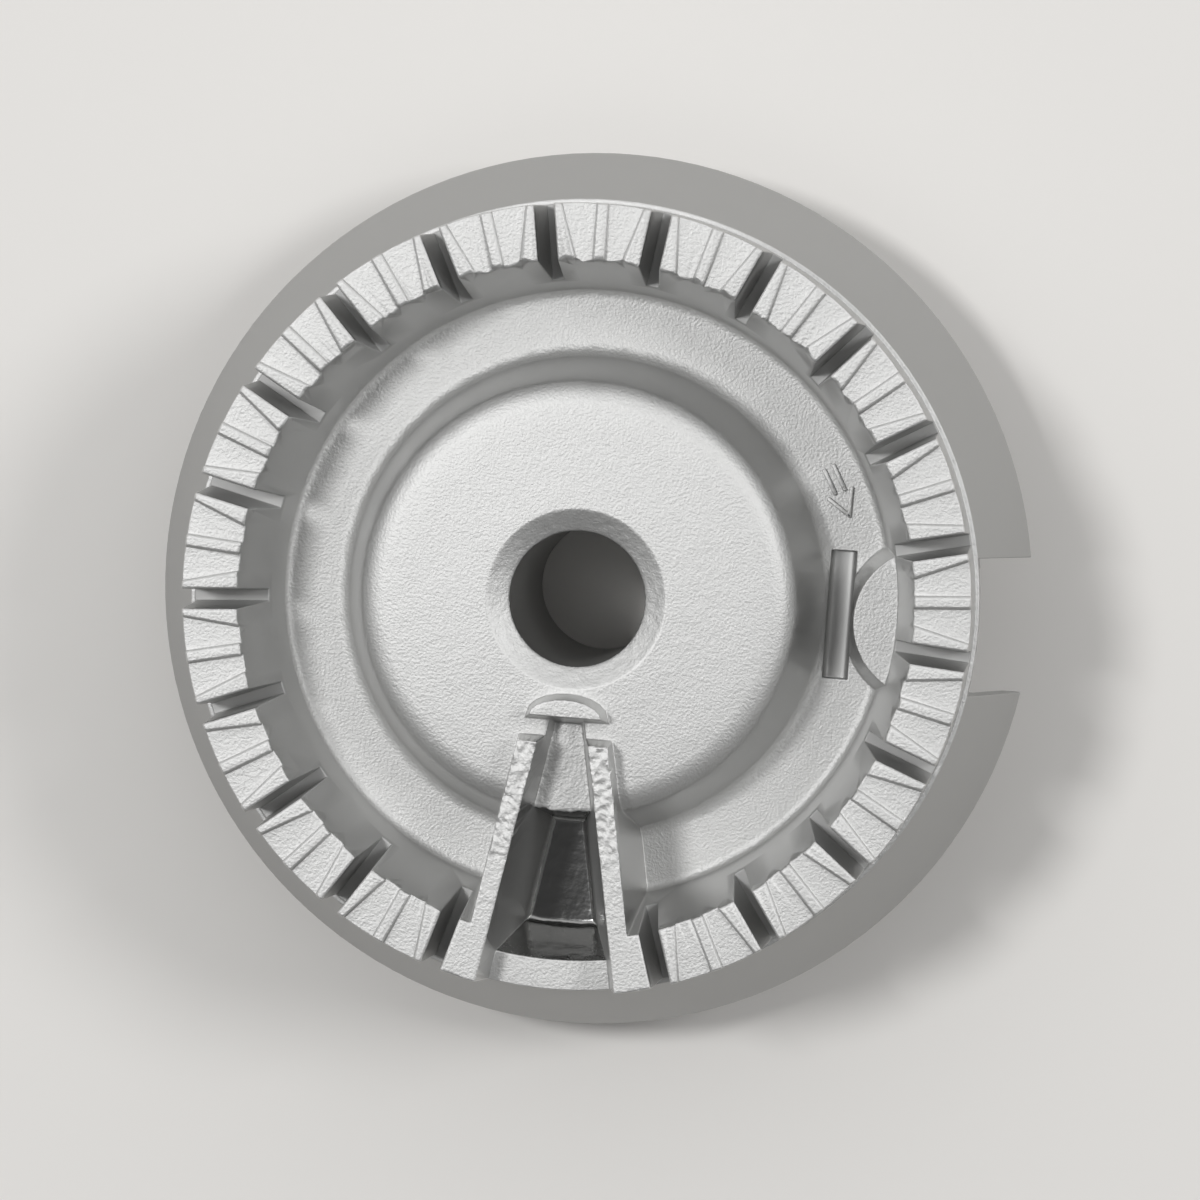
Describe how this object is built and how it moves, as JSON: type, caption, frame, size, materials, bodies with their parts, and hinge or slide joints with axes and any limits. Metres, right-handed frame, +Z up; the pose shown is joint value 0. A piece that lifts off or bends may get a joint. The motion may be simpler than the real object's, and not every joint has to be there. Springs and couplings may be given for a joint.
{
  "type": "gas burner head",
  "caption": "Round cast burner head for a gas hob: an inlet tube feeds a domed plenum ringed by flame ports, with a lighting chamber and an electrode notch.",
  "frame": {"origin": "centre of the inlet tube's lower end", "axes": "+Z up along the inlet tube, +X towards the electrode notch, -Y towards the lighting chamber"},
  "size_m": [0.0887, 0.0892, 0.033],
  "materials": {
    "cast_aluminium": "shot-blasted die casting"
  },
  "bodies": {
    "root": {"burner_head": "cast_aluminium"}
  },
  "joints": []
}
